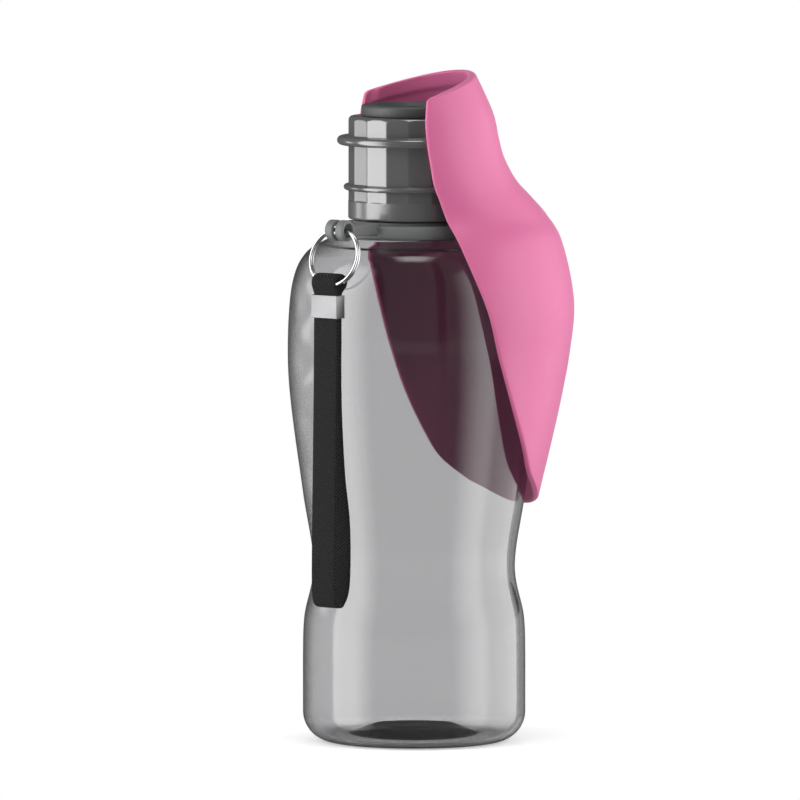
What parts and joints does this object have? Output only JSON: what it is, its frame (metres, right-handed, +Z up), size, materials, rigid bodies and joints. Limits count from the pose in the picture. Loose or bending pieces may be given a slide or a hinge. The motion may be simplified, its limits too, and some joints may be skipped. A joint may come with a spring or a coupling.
{
  "type": "dog travel water bottle",
  "caption": "Squeezable travel bottle whose soft leaf flips up from the cap as a drinking trough, with a twist valve and a wrist strap.",
  "frame": {"origin": "centre of the bottle's base, on the plane that it stands on", "axes": "+Z up along the bottle's axis, +X towards the leaf, +Y to its side"},
  "size_m": [0.0993, 0.0898, 0.223],
  "materials": {
    "smoke_plastic": "clear smoke-grey blown plastic",
    "grey_plastic": "satin moulded plastic",
    "dark_plastic": "satin moulded plastic",
    "pink_silicone": "matte moulded silicone",
    "white_silicone": "matte moulded silicone",
    "black_rubber": "matte",
    "steel": "polished plated steel",
    "webbing": "woven black webbing"
  },
  "bodies": {
    "bottle": {"bottle_body": "smoke_plastic"},
    "liner": {"cap_liner": "white_silicone"},
    "cap": {"cap_core": "dark_plastic", "grip_sleeve": "grey_plastic", "pivot_pins": "steel", "valve_seal": "white_silicone"},
    "knob": {"valve_knob": "dark_plastic", "stem_oring": "black_rubber", "stem_clip": "steel"},
    "leaf": {"leaf": "pink_silicone", "pivot_bushes": "pink_silicone"},
    "collar": {"lug_collar": "dark_plastic"},
    "ring": {"split_ring": "steel"},
    "strap": {"strap_webbing": "webbing", "strap_crimp": "steel"}
  },
  "joints": [
    {"name": "cap_lift", "type": "slide", "parent": "bottle", "child": "liner", "axis": [0, 0, 1], "range_m": [0, 0.009]},
    {"name": "cap_turn", "type": "hinge", "parent": "liner", "child": "cap", "pos_m": [0, 0, 0.1742], "axis": [0, 0, 1], "range_deg": [0, 540]},
    {"name": "leaf_flip", "type": "hinge", "parent": "cap", "child": "leaf", "pos_m": [0, 0, 0.195], "axis": [0, -1, 0], "range_deg": [0, 145]},
    {"name": "valve_turn", "type": "hinge", "parent": "cap", "child": "knob", "pos_m": [0, 0, 0.2082], "axis": [0, 0, 1], "range_deg": [0, 60]},
    {"name": "collar_swivel", "type": "hinge", "parent": "cap", "child": "collar", "pos_m": [0, 0, 0.1721], "axis": [0, 0, 1], "range_deg": [-35, 35]},
    {"name": "ring_swing", "type": "hinge", "parent": "collar", "child": "ring", "pos_m": [-0.03505, -0.0171, 0.1721], "axis": [-0.4384, 0.8988, 0], "range_deg": [0, 80]},
    {"name": "strap_swing", "type": "hinge", "parent": "ring", "child": "strap", "pos_m": [-0.03993, -0.01948, 0.15429], "axis": [-0.4384, 0.8988, 0], "range_deg": [0, 60]}
  ],
  "couplings": [
    {"joint": "cap_lift", "follows": "cap_turn", "m_per_rad": 0.00095493}
  ]
}
